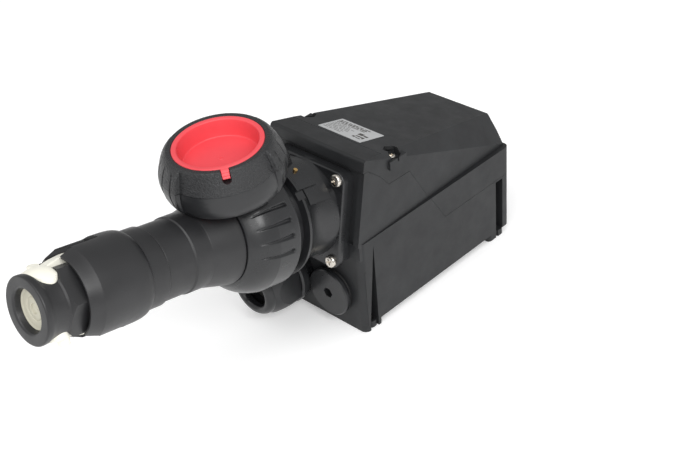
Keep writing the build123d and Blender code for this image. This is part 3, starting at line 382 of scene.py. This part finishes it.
def combined(mesh, cutter, operation="DIFFERENCE"):
    """Mesh after a boolean with another mesh."""
    a = bpy.data.objects.new("a", mesh)
    b = bpy.data.objects.new("b", cutter)
    for obj in (a, b):
        bpy.context.scene.collection.objects.link(obj)
    modifier = a.modifiers.new("cut", "BOOLEAN")
    modifier.operation = operation
    modifier.solver = "EXACT"
    modifier.object = b
    depsgraph = bpy.context.evaluated_depsgraph_get()
    result = bpy.data.meshes.new_from_object(a.evaluated_get(depsgraph))
    result.name = mesh.name
    bpy.data.objects.remove(a)
    bpy.data.objects.remove(b)
    return result


def polygon(count, radius, x=0.0, y=0.0, turn=0.0):
    """Corners of a regular outline; with many corners, a circle."""
    return [(x + radius * cos(radians(turn + a)), y + radius * sin(radians(turn + a))) for a in even(count)]


# ---------------------------------------------------------------- coupling ring
FIRST_GROOVE = 90 - 48.2
GROOVE_PITCH = 14.4
GROOVES = [FIRST_GROOVE - GROOVE_PITCH * i - 120 * group for group in range(3) for i in range(4)]
GROOVE_START, GROOVE_END = 79.5, 117.0
GROOVE_DEPTH = (2.6, 0.5)   # at the start and at the end
GROOVE_HALF = (2.35, 0.8)   # half the width, likewise
RING_BORE = 43.0            # only points outside this radius are grooved


def ring_shape(angle, radius, along):
    if radius < RING_BORE or along < GROOVE_START - 2 or along > GROOVE_END + 1:
        return radius, along
    depth = lerp(*GROOVE_DEPTH, (along - GROOVE_START) / (GROOVE_END - GROOVE_START))
    depth *= ease((along - GROOVE_START + 1.2) / 1.4) * ease((GROOVE_END - along) / 5)
    half = lerp(*GROOVE_HALF, (along - GROOVE_START) / (GROOVE_END - GROOVE_START))
    for groove in GROOVES:
        side = abs(radians(apart(angle, groove)) * radius) / half
        if side < 1.25:
            return radius - depth * (1 - ease(side * 0.8)) ** 0.75, along
    return radius, along


groove_angles = set(even(72))
for groove in GROOVES:
    groove_angles.update(round((groove + k * 0.32) % 360, 4) for k in range(-9, 10))
ring_profile = rounded([
    (42.6, 84.4, 0.4), (55.3, 84.4, 0.6), (55.3, 79.0), (57.3, 78.0), (57.3, 70.0, 0.5), (59.0, 70.0, 0.8),
    (60.4, 71.8, 0.9), (60.4, 75.0),
], close=False)
ring_profile += [(60.4, 75.0 + 0.9 * k) for k in range(1, 25)]
ring_profile += [(60.4, 96.97), (60.39, 97.0)]
ring_profile += curve([
    (60.38, 97.03), (59.7, 100.0), (58.6, 104.0), (56.9, 108.7), (54.3, 113.5), (50.8, 118.0), (46.6, 121.8),
], 6)
ring_profile += rounded([
    (46.6, 121.8), (44.6, 123.0, 0.6), (42.6, 123.0, 0.3), (42.6, 84.4),
], close=False)[1:-1]
link(
    "coupling_ring", turned("coupling_ring", SOCKET, ring_profile, sorted(groove_angles), ring_shape),
    "fitting_black", "coupling_ring", ["plug_coupling_ring"],
)

# ---------------------------------------------------------------- handle and rear shell
handle_profile = rounded([(36.0, 126.0), (42.4, 126.0), (42.4, 123.6, 0.3), (43.2, 123.6, 0.4)], close=False)
handle_profile += curve([
    (43.5, 124.6), (43.2, 127.0), (42.2, 131.5), (40.8, 138.0), (39.2, 145.0), (37.8, 151.0), (36.62, 155.97),
])
handle_profile += [(36.6, 156.0), (36.59, 156.04)]
handle_profile += rounded([
    (36.55, 160.0), (36.5, 174.4, 0.3), (35.3, 175.6, 0.3), (35.3, 204.2, 0.7), (34.5, 205.0, 0.3),
    (30.0, 205.0), (30.0, 150.0), (36.0, 130.0),
], close=False)
link(
    "plug_handle_body", turned("plug_handle_body", SOCKET, handle_profile), "plug_black", "plug",
    ["plug_handle"],
)

CLAMP_TURN = 117.0
SLOT_START = 248.0
SLOT_HALF = 13.0
SLOT_CORNER = 3.0
SHELL_BORE = 34.0           # only points outside this radius are slotted


def shell_shape(angle, radius, along):
    if radius < SHELL_BORE or along <= SLOT_START:
        return radius, along
    for side in (0, 180):
        across = abs(radians(apart(angle, CLAMP_TURN + side))) * radius
        if across < SLOT_HALF:
            corner = max(0.0, across - SLOT_HALF + SLOT_CORNER)
            bottom = SLOT_START + SLOT_CORNER - (SLOT_CORNER ** 2 - corner * corner) ** 0.5
            return radius, min(along, bottom)
    return radius, along


shell_angles = set(even(120))
for side in (0, 180):
    for edge in (-1, 1):
        for radius in (34.8, 36.6, 41.5):
            turn = CLAMP_TURN + side + edge * SLOT_HALF / radians(1) / radius
            shell_angles.update(((turn - 0.03) % 360, (turn + 0.03) % 360))
        turn = CLAMP_TURN + side + edge * SLOT_HALF / radians(1) / 41.5
        shell_angles.update((turn - edge * k * 0.7) % 360 for k in range(1, 7))
shell_profile = rounded([
    (27.0, 226.0), (27.0, 196.0, 0.4), (30.0, 196.0, 0.4), (30.0, 205.3), (36.2, 205.3, 0.3),
    (37.0, 206.1, 0.4), (37.0, 216.0),
], close=False)
shell_profile += [(37.0, 223.2), (37.02, 223.5)]
shell_profile += curve([
    (37.3, 223.7), (38.6, 224.8), (39.7, 226.6), (40.6, 229.4), (41.1, 233.0), (41.4, 238.0), (41.5, 247.9),
])
shell_profile += [(41.5, along) for along in (248.2, 256.0, 265.0, 276.96)]
shell_profile += [(41.49, 277.0), (41.47, 277.04), (39.3, 283.0)]
shell_profile += rounded([
    (37.3, 288.4), (37.0, 289.0, 0.3), (34.8, 289.0, 0.4), (34.8, 248.2), (34.8, 240.0, 1.0), (30.0, 234.0),
    (30.0, 230.0), (27.0, 226.0),
], close=False)[:-1]
link(
    "rear_shell", turned("rear_shell", SOCKET, shell_profile, sorted(shell_angles), shell_shape),
    "plug_black", "plug", ["plug_rear_shell"], bevel=0.35,
)

# ---------------------------------------------------------------- cable clamp
HEX_FLAT = 29.9          # half the width across the flats
HEX_TURN = 17.0
HEX_SPAN = (262.0, 305.0)
SLOT_SPAN = (256.0, 304.0)
SLOT_WIDTH = 24.0
WINDOW_TURN = 104.0
CUT_SPAN = (19.0, 45.0)  # how far out from the axis the slots and windows are cut
JAW_GAP = 0.35           # round a jaw in its window
BAR_HALF = 8.8
POST_R = 5.4
SCREW_ACROSS = 6.0
SCREW_ALONG = 273.0
SCREW_R = 2.0
SCREW_SPAN = (31.0, 34.75)


def across_clamp(side, turn=CLAMP_TURN):
    """Frame looking in at one side of the clamp: x along the wall, y along the plug, z outward."""
    outward = SOCKET.x * cos(radians(turn)) + SOCKET.y * sin(radians(turn))
    axes = Frame(SOCKET.origin, outward * side, SOCKET.z.cross(outward) * side)
    axes.y = SOCKET.z.copy()
    return axes


def window_outline(inset):
    """Wide rounded hole near the mouth, which a jaw fills."""
    return rounded([
        (17.0 - inset, 299.4 + inset, 5.0), (19.9 - inset, 308.0, 8.0), (15.5 - inset, 317.6 - inset, 7.0),
        (6.0, 319.6 - inset, 8.0), (-6.0, 319.6 - inset, 8.0), (inset - 15.5, 317.6 - inset, 7.0),
        (inset - 19.9, 308.0, 8.0), (inset - 17.0, 299.4 + inset, 5.0),
    ], 8)


clamp_profile = rounded([
    (20.0, 230.0, 0.5), (30.0, 230.0, 0.5), (30.0, 236.0, 0.4), (29.5, 240.0), (29.5, 296.0),
], close=False)
clamp_profile += curve([
    (29.4, 298.0), (29.1, 301.0), (28.8, 304.5), (28.6, 308.0), (28.7, 311.5), (29.1, 315.0),
])
clamp_profile += rounded([
    (29.6, 317.6), (30.5, 319.6, 1.0), (30.9, 321.4, 1.0), (30.9, 325.0, 0.9), (30.0, 326.0, 0.8),
    (21.2, 326.0, 0.9), (19.6, 324.8, 0.9), (18.4, 319.4), (20.0, 319.4),
], close=False)
clamp_form = turned("clamp_body", SOCKET, clamp_profile, even(180))
hexagon_form = solid("clamp_hexagon", (SOCKET, polygon(6, HEX_FLAT / cos(pi / 6), turn=HEX_TURN), *HEX_SPAN))
hexagon_form = combined(hexagon_form, turned("cone", SOCKET, [
    (28.0, 261.0), (33.6, 261.0), (34.8, 263.0), (34.8, 298.6), (29.9, 302.2), (28.9, 303.8), (28.0, 303.8),
], even(180)), "INTERSECT")
for side in (-1, 1):
    slot_outline = slab(SLOT_WIDTH, SLOT_SPAN[1] - SLOT_SPAN[0], 1.0, 0.0, sum(SLOT_SPAN) / 2)
    slot = (across_clamp(side), slot_outline, *CUT_SPAN)
    hole = (across_clamp(side, WINDOW_TURN), window_outline(0.0), *CUT_SPAN)
    for opening in (slot, hole):
        clamp_form = combined(clamp_form, solid("window", opening))
        hexagon_form = combined(hexagon_form, solid("window", opening))
link("clamp_body", clamp_form, "plug_black", "plug", ["plug_clamp_body"], bevel=0.5, limit=42)
link("clamp_hexagon", hexagon_form, "plug_black", "plug", sharp=20, bevel=0.25, limit=24)

# Ivory jaws: each fills its window and stands proud of the neck, with a round post and a bar back into
# the slot.
JAW_BAR = [
    (265.0, 24.0), (265.0, 34.6), (279.0, 34.6), (289.0, 33.4), (296.0, 32.0), (303.0, 30.2), (303.0, 24.0),
]
jaw_core = turned("core", SOCKET, [(21.2, 250.0), (29.0, 250.0), (29.0, 293.0)] + curve([
    (29.4, 296.0), (31.2, 299.5), (32.3, 303.0), (32.6, 307.0), (32.4, 311.0), (31.6, 315.0), (30.4, 318.6),
], 3) + [(30.0, 319.6), (21.2, 319.6)], even(120))
screw_heads = []
for side, place in ((1, "upper"), (-1, "lower")):
    axes = across_clamp(side)
    hole_axes = across_clamp(side, WINDOW_TURN)
    boss = solid("jaw_boss", (hole_axes, window_outline(JAW_GAP), 18.0, 40.0))
    boss = combined(boss, jaw_core.copy(), "INTERSECT")
    replaced = ["clamp_jaws"] if side == 1 else ()
    link(f"jaw_boss_{place}", boss, "ivory_plastic", "plug", replaced, bevel=1.3, limit=35)
    bar_axes = Frame(SOCKET.origin, axes.x)
    bar_axes.x, bar_axes.y = SOCKET.z.copy(), axes.z.copy()
    bar = solid("jaw_bar", (bar_axes, JAW_BAR, -BAR_HALF, BAR_HALF))
    link(f"jaw_bar_{place}", bar, "ivory_plastic", "plug", bevel=0.8, limit=12)
    x, along, top = (12.0, 305.6, 31.6) if side == 1 else (5.0, 300.5, 37.5)
    post = solid("jaw_post", (hole_axes, polygon(24, POST_R, x, along), 24.0, top))
    link(f"jaw_post_{place}", post, "ivory_plastic", "plug", bevel=0.6)
    for across in (-SCREW_ACROSS, SCREW_ACROSS):
        screw_heads.append((axes, polygon(24, SCREW_R, across, SCREW_ALONG), *SCREW_SPAN))
heads_form = solid("clamp_screw_heads", *screw_heads)
link("clamp_screw_heads", heads_form, "steel", "plug", ["clamp_screws"], bevel=0.2)

# Split disc in the mouth: a raised rim, a membrane with a dimple, and a ridge beside it.
disc_profile = rounded([
    (0.0, 315.6), (20.0, 315.6), (20.0, 319.3, 0.3), (18.2, 319.3, 0.4), (16.6, 318.4, 0.7),
    (11.4, 318.1, 0.5), (11.0, 317.6, 0.2), (10.4, 317.6, 0.2), (10.0, 318.2, 0.5), (5.6, 318.7, 0.3),
    (4.9, 318.6, 0.2), (4.4, 317.2, 0.3), (0.0, 317.0),
], close=False)
# The disc and its ridge use the darker ivory copy, which paints the shade of the deep mouth.
link(
    "cable_disc", turned("cable_disc", SOCKET, disc_profile, closed=False), "ivory_plastic", "plug",
    ["cable_seal"], look="disc_ivory_painted_shade",
)
ridge = solid("disc_ridge", (SOCKET, slab(12.0, 1.1, 0.5, 10.4, 1.2), 317.8, 319.0))
link("disc_ridge", ridge, "ivory_plastic", "plug", bevel=0.3, look="disc_ivory_painted_shade")

# ---------------------------------------------------------------- hinged cap
NOTCH = 55.8 - 90
NOTCH_HALF = 4.1
NOTCH_BOTTOM = -11.8
LOBES = (56.0, -124.0)
LOBE_HALF = 36.0
RIB_PITCH = 14.4
RIB_R = 56                  # radius at which the width of a rib's groove is measured
COVER_SIDE = 47.8           # points outside this radius are on the cover's outer side
DIMPLE_AT = -37.0           # height of the round end of each groove


def lobe_out(along):
    """How far a finger grip stands out of the cover at a height."""
    stops = (
        (1.0, 0.0), (-0.8, 0.3), (-5.0, 2.6), (-10.0, 3.6), (-18.0, 4.2), (-26.6, 4.0), (-35.0, 2.6),
        (-41.0, 2.2), (-46.0, 1.2), (-48.0, 0.2),
    )
    for (a, x), (b, y) in zip(stops, stops[1:]):
        if b <= along <= a:
            return lerp(x, y, (a - along) / (a - b))
    return 0.0


def rib_cut(gap, along):
    """Depth of the groove between two ribs, which ends in a dimple, at a distance across it and a height."""
    groove = 1.1 * ease((1.25 - gap) / 0.8) * ease((-along - 4) / 4) * ease((along + 37.5) / 3)
    dimple = 1.7 * ease((1.7 - (gap ** 2 + (along - DIMPLE_AT) ** 2) ** 0.5) / 0.8)
    return max(groove, dimple)


def cover_shape(angle, radius, along):
    """Finger grips with grooves on two sides, and the notch in the rim."""
    if radius > COVER_SIDE:
        for lobe in LOBES:
            off = apart(angle, lobe)
            inside = window(off, -LOBE_HALF, LOBE_HALF, 1.8)
            if inside:
                grow = lobe_out(along) * inside
                for k in range(-2, 3):
                    gap = abs(apart(off, k * RIB_PITCH)) * radians(1) * RIB_R
                    grow -= rib_cut(gap, along) * inside
                radius += grow * ease((radius - COVER_SIDE) / 0.8)
    across = abs(radians(apart(angle, NOTCH))) * radius
    if across < NOTCH_HALF:
        bottom = NOTCH_BOTTOM + NOTCH_HALF - (NOTCH_HALF ** 2 - across ** 2) ** 0.5
        if along > bottom and radius > 42:
            along = bottom
    return radius, along


cover_angles = set(even(144))
for lobe in LOBES:
    for k in range(-2, 3):
        cover_angles.update((lobe + k * RIB_PITCH + 0.3 * i) % 360 for i in range(-7, 8))
    for edge in (-1, 1):
        cover_angles.update((lobe + edge * (LOBE_HALF + 0.3 * i)) % 360 for i in range(0, 8))
for i in range(-8, 9):
    cover_angles.add((NOTCH + i / 8 * NOTCH_HALF / radians(1) / 48) % 360)
for edge in (-1, 1):
    for radius in (42.8, 45.0, 47.4, 49.0, 51.5):
        turn = NOTCH + edge * NOTCH_HALF / radians(1) / radius
        cover_angles.update(((turn - 0.02) % 360, (turn + 0.02) % 360))
cover_profile = rounded([
    (42.8, -20.8), (42.8, -0.7, 0.4), (43.3, -0.3, 0.3), (47.3, -0.3, 0.5), (48.3, -1.2, 0.8),
    (48.9, -3.0),
], close=False)
cover_profile += [(lerp(48.9, 54.6, k / 14), lerp(-3.0, CAP_CREASE, k / 14)) for k in range(1, 14)]
cover_profile += [(54.6, -22.38), (54.61, -22.42), (54.62, -22.46)]
cover_profile += curve([
    (54.9, -25.0), (55.2, -28.0), (55.3, -31.0), (55.2, -34.0), (55.0, -37.0), (54.5, -40.0), (53.2, -43.8),
    (51.9, -46.4),
], 5)
cover_profile += rounded([
    (51.3, -47.2, 0.4), (50.2, -47.6, 0.5), (48.0, -47.6, 0.4), (47.5, -46.8), (47.5, -39.0), (49.2, -39.0),
    (49.2, -35.0), (47.5, -35.0), (47.5, -20.8),
], close=False)
link(
    "cap_cover_form", turned("cap_cover_form", CAP, cover_profile, sorted(cover_angles), cover_shape),
    "fitting_black", "cap", ["cap_cover"], look="cap_black",
)

cup_profile = rounded([
    (0.0, -17.9), (1.1, -17.9, 0.1), (1.3, -17.3, 0.15), (2.4, -17.3, 0.2), (2.6, -17.55, 0.1), (8.0, -17.5),
    (33.0, -17.5), (35.4, -17.4, 2.2), (36.6, -9.0), (37.6, -0.7, 0.9), (38.8, -0.1, 0.8), (41.6, 0.0, 0.6),
    (42.5, -0.5, 0.4), (42.6, -3.0), (42.6, -20.8), (46.0, -20.8), (46.0, -23.5), (0.0, -23.5),
], close=False)
cup_form = turned("cap_cup", CAP, cup_profile, even(180), closed=False)
link("cap_cup", cup_form, "signal_red", "cap", ["cap_centre"])

# Stepped pointer of the cup, standing in the notch.
toward_notch = CAP.x * cos(radians(NOTCH)) + CAP.y * sin(radians(NOTCH))
pointer_axes = Frame(CAP.origin, CAP.z.cross(toward_notch), toward_notch)
pointer_axes.y = CAP.z.copy()
pointer = [
    (41.8, -0.4), (45.0, -0.5), (46.6, -1.5), (46.8, -2.6), (46.3, -3.1), (46.6, -3.5), (47.6, -4.2),
    (47.7, -5.6), (47.1, -6.1), (47.3, -6.5), (48.0, -7.2), (47.9, -8.4), (46.4, -9.3), (41.8, -9.4),
]
pointer_form = solid("cap_pointer", (pointer_axes, pointer, -3.5, 3.5))
link("cap_pointer", pointer_form, "signal_red", "cap", bevel=0.3, limit=25)

# ---------------------------------------------------------------- gland nut
NUT_TURN = 33.0
NUT_CORNER = 36.0        # radius to the corners of the hexagon
nut_profile = rounded([
    (24.0, 19.4), (35.6, 19.4, 0.5), (35.6, 34.0), (35.2, 37.0), (34.4, 40.0), (33.0, 44.0), (31.4, 47.6),
    (29.6, 50.8), (28.4, 52.6, 0.4), (28.6, 53.4, 0.4), (27.9, 56.6, 1.2), (25.6, 59.6, 1.8),
    (23.2, 60.5, 1.6), (20.6, 60.2, 1.2), (18.5, 57.6, 1.0), (18.5, 52.0), (24.0, 46.0),
], close=False)
nut_hexagon = solid("nut_hexagon", (GLAND, polygon(6, NUT_CORNER, turn=NUT_TURN), 18.0, 62.0))
nut_form = combined(turned("gland_nut", GLAND, nut_profile), nut_hexagon, "INTERSECT")
link("gland_nut_form", nut_form, "fitting_black", "gland_nut", ["gland_cap_nut"], bevel=0.5, limit=24)

# ---------------------------------------------------------------- print on the rating plate
SLOPE = radians(14.5)
PLATE = Frame((0, FRONT_Y + 43.7, 192.2), (0, sin(SLOPE), cos(SLOPE)))
PRINT_Z = (0.3, 0.42)    # from inside the plate to just proud of it
# Rows of plain bars: place up the plate, height, and the start and length of each bar.
ROWS = (
    (35.5, 1.5, ((-26, 3), (-22, 6), (-14.5, 4), (-9, 7.5), (0, 5), (6.5, 8))),
    (32.4, 1.9, ((-26, 7), (-17.5, 3), (-13, 9), (-2.5, 4), (3, 9))),
    (29.2, 1.2, ((-26, 4), (-20.5, 8), (-11, 3), (-6.5, 10), (5.5, 6.5))),
    (25.6, 0.8, ((-26, 9), (-15.5, 6), (-8, 4))),
    (22.4, 0.8, ((-26, 6), (-18.5, 10), (-7, 5), (0, 4))),
    (19.2, 0.8, ((-26, 11), (-13.5, 4), (-8, 8))),
    (16.0, 0.8, ((-26, 5), (-19.5, 7), (-11, 6), (-3.5, 5))),
    (12.8, 0.8, ((-26, 8), (-16.5, 9), (-6, 4))),
    (9.6, 0.8, ((-26, 6), (-18.5, 5), (-12, 9))),
)
# Plain blocks beside them: centre, width and height.
BLOCKS = (
    (14.5, 21.5, 6.5, 5.0), (21.5, 20.5, 5.0, 3.0), (17.5, 15.5, 9.0, 2.2), (13.0, 12.0, 3.5, 3.0),
    (19.5, 11.0, 6.0, 1.6), (23.0, 14.5, 2.2, 4.0),
)
marks = [
    (PLATE, slab(length, height, 0.2, x + length / 2, y, 2), *PRINT_Z)
    for y, height, bars in ROWS for x, length in bars
]
marks += [(PLATE, slab(width, height, 0.3, x, y, 2), *PRINT_Z) for x, y, width, height in BLOCKS]
link("plate_print", solid("plate_print", *marks), "label_silver", "lid", look="print")

# ---------------------------------------------------------------- floor, lights, camera
floor_mesh = bpy.data.meshes.new("floor")
form = bmesh.new()
bmesh.ops.create_grid(form, x_segments=1, y_segments=1, size=6.0)
form.to_mesh(floor_mesh)
form.free()
floor = bpy.data.objects.new("floor", floor_mesh)
floor.location = (0, 0, -0.0005)
bpy.context.scene.collection.objects.link(floor)
floor_material, floor_tree, floor_shader = graph("floor")
floor_shader.inputs["Base Color"].default_value = (0.92, 0.92, 0.92, 1)
floor_shader.inputs["Emission Color"].default_value = (1, 1, 1, 1)
floor_shader.inputs["Emission Strength"].default_value = 0.22
floor_shader.inputs["Roughness"].default_value = 0.8
floor.data.materials.append(floor_material)

world = bpy.data.worlds.new("studio")
world.use_nodes = True
# White sky, dimmer low down behind the object, where the roof mirrors it, and even where the camera sees it.
DIM_SIDE = (-0.62, 0.77, 0.15)
SKY_LEVELS = (0.78, 0.42)
SKY_SEEN = 0.95
sky = world.node_tree
directions = sky.nodes.new("ShaderNodeTexCoord")
toward = sky.nodes.new("ShaderNodeVectorMath")
toward.operation = "DOT_PRODUCT"
toward.inputs[1].default_value = DIM_SIDE
sky.links.new(directions.outputs["Generated"], toward.inputs[0])
strength = remap(sky, toward.outputs["Value"], *SKY_LEVELS, 0.3, 0.95)
path = sky.nodes.new("ShaderNodeLightPath")
seen = sky.nodes.new("ShaderNodeMix")
sky.links.new(path.outputs["Is Camera Ray"], seen.inputs[0])
sky.links.new(strength, seen.inputs[2])
seen.inputs[3].default_value = SKY_SEEN
sky.nodes["Background"].inputs["Color"].default_value = (1, 1, 1, 1)
sky.links.new(seen.outputs[0], sky.nodes["Background"].inputs["Strength"])
scene = bpy.context.scene
scene.world = world
scene.view_settings.view_transform = "Standard"


def softbox(name, place, target, size, watts):
    light = bpy.data.lights.new(name, "AREA")
    light.shape = "RECTANGLE"
    light.size, light.size_y = size
    light.energy = watts
    lamp = bpy.data.objects.new(name, light)
    lamp.location = place
    lamp.rotation_euler = (Vector(target) - Vector(place)).to_track_quat("-Z", "Y").to_euler()
    scene.collection.objects.link(lamp)


MIDDLE = (0.0, -0.15, 0.12)
# Name, place, size and watts.
for name, place, size, watts in (
    ("key", (0.3, -1.2, 1.9), (1.4, 1.0), 12),
    ("side", (1.45, -0.5, 1.45), (0.55, 0.55), 11),
    ("camera_side", (1.2, -1.35, 1.3), (1.2, 1.0), 9),
):
    softbox(name, place, MIDDLE, size, watts)

CAMERA_AT = Vector((0.7566, -0.7899, 0.8008))
AZ, EL, ROLL = radians(46.77), radians(34.57), radians(-5.38)
forward = Vector((-sin(AZ) * cos(EL), cos(AZ) * cos(EL), -sin(EL)))
level = Vector((cos(AZ), sin(AZ), 0))
above = level.cross(forward)
right = level * cos(ROLL) + above * sin(ROLL)
up = above * cos(ROLL) - level * sin(ROLL)
lens = bpy.data.cameras.new("camera")
lens.lens = 64.8
lens.sensor_width = 36
camera = bpy.data.objects.new("camera", lens)
camera.matrix_world = Matrix((
    (right.x, up.x, -forward.x, CAMERA_AT.x),
    (right.y, up.y, -forward.y, CAMERA_AT.y),
    (right.z, up.z, -forward.z, CAMERA_AT.z),
    (0, 0, 0, 1),
))
scene.collection.objects.link(camera)
scene.camera = camera
